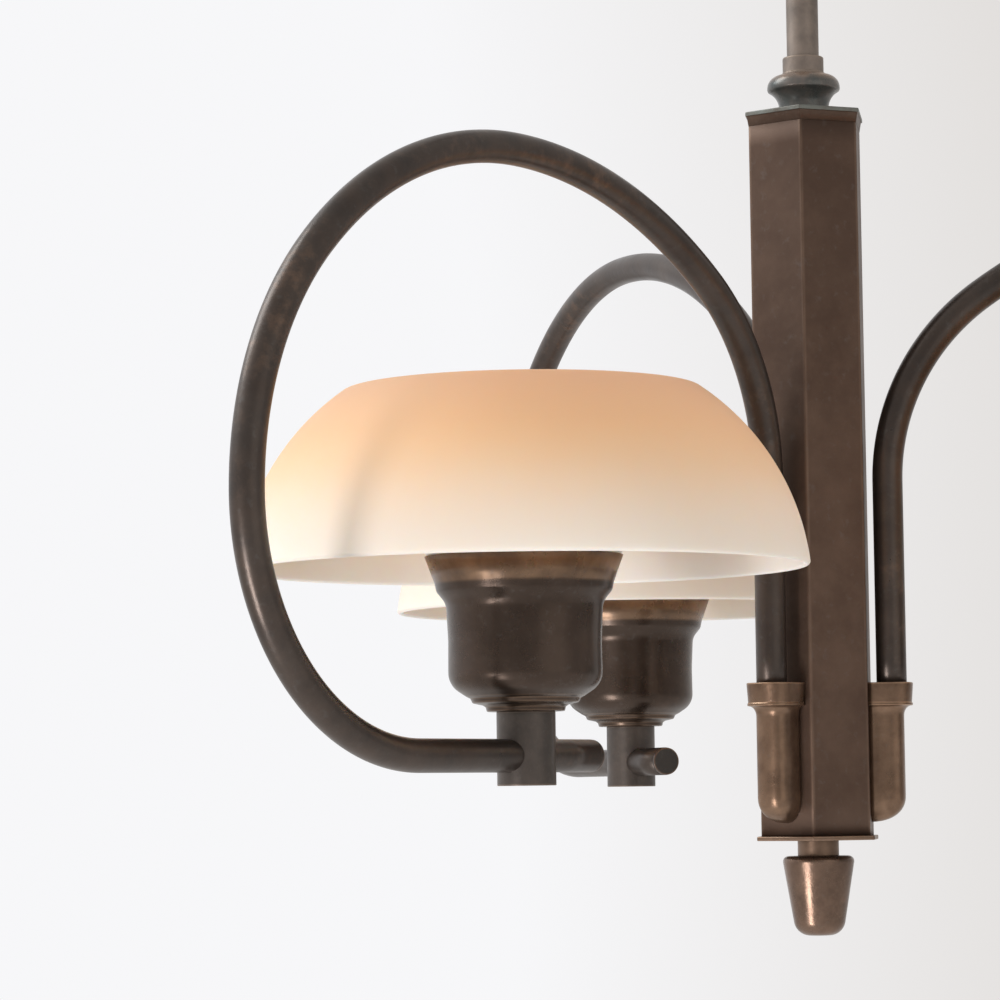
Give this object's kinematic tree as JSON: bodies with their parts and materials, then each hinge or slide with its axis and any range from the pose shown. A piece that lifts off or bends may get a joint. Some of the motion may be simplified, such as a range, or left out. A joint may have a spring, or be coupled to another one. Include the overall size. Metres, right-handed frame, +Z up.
{
  "type": "three-arm ceiling lamp",
  "caption": "Hanging lamp with a six-sided brass column on a drop rod and looped tube arms, each carrying a spun cup, a bulb and a folded blown-glass shade.",
  "frame": {"origin": "centre of the hole in the hanging eye, where the ceiling hook carries the lamp", "axes": "+Z up along the drop rod, +X along arm a; arms b and c are 120 degrees on, turning from +X towards +Y"},
  "size_m": [0.6241, 0.687, 0.7418],
  "materials": {
    "dark_brass": "dark brown patina, satin, slightly mottled",
    "worn_brass": "dark brown patina rubbed to copper at the edges",
    "bright_brass": "plain turned brass",
    "steel": "plain",
    "shade_glass": "matt etched, peach at the fold fading to milk white at the rim",
    "bulb_glass": "frosted",
    "bulb_cap": "bright",
    "holder": "unglazed porcelain",
    "porcelain": "glazed",
    "block": "plain",
    "lead": "braided sleeve"
  },
  "bodies": {
    "frame": {"hanging_eye": "dark_brass", "eye_pin": "steel", "drop_rod": "dark_brass", "terminal_block": "block", "supply_lead": "lead", "column_tube": "dark_brass", "column_cap": "dark_brass", "column_base": "dark_brass", "top_knob": "dark_brass", "rod_sleeve": "dark_brass", "rod_nut": "bright_brass", "rod_coupler": "bright_brass", "tie_rod": "bright_brass", "tie_nuts": "bright_brass", "column_connector": "porcelain", "finial_neck": "dark_brass", "finial": "worn_brass", "arm_socket_a": "worn_brass", "arm_socket_b": "worn_brass", "arm_socket_c": "worn_brass", "arm_tube_a": "dark_brass", "arm_tube_b": "dark_brass", "arm_tube_c": "dark_brass", "end_plug_a": "dark_brass", "end_plug_b": "dark_brass", "end_plug_c": "dark_brass", "tee_a": "dark_brass", "tee_b": "dark_brass", "tee_c": "dark_brass", "nipple_a": "bright_brass", "nipple_b": "bright_brass", "nipple_c": "bright_brass", "cup_a": "worn_brass", "cup_b": "worn_brass", "cup_c": "worn_brass", "lampholder_a": "holder", "lampholder_b": "holder", "lampholder_c": "holder", "lampholder_insert_a": "bright_brass", "lampholder_insert_b": "bright_brass", "lampholder_insert_c": "bright_brass", "arm_lead_a": "lead", "arm_lead_b": "lead", "arm_lead_c": "lead"},
    "canopy": {"canopy": "dark_brass", "canopy_grub_screw": "bright_brass"},
    "shade_a": {"shade_a": "shade_glass"},
    "bulb_a": {"bulb_cap_a": "bulb_cap", "bulb_glass_a": "bulb_glass"},
    "shade_b": {"shade_b": "shade_glass"},
    "bulb_b": {"bulb_cap_b": "bulb_cap", "bulb_glass_b": "bulb_glass"},
    "shade_c": {"shade_c": "shade_glass"},
    "bulb_c": {"bulb_cap_c": "bulb_cap", "bulb_glass_c": "bulb_glass"}
  },
  "joints": [
    {"name": "canopy_slide", "type": "slide", "parent": "frame", "child": "canopy", "axis": [0, 0, -1], "range_m": [-0.03, 0.17]},
    {"name": "shade_lift_a", "type": "slide", "parent": "frame", "child": "shade_a", "axis": [0, 0, 1], "range_m": [0, 0.06]},
    {"name": "bulb_out_a", "type": "slide", "parent": "frame", "child": "bulb_a", "axis": [0, 0, 1], "range_m": [0, 0.045]},
    {"name": "shade_lift_b", "type": "slide", "parent": "frame", "child": "shade_b", "axis": [0, 0, 1], "range_m": [0, 0.06]},
    {"name": "bulb_out_b", "type": "slide", "parent": "frame", "child": "bulb_b", "axis": [0, 0, 1], "range_m": [0, 0.045]},
    {"name": "shade_lift_c", "type": "slide", "parent": "frame", "child": "shade_c", "axis": [0, 0, 1], "range_m": [0, 0.06]},
    {"name": "bulb_out_c", "type": "slide", "parent": "frame", "child": "bulb_c", "axis": [0, 0, 1], "range_m": [0, 0.045]}
  ]
}
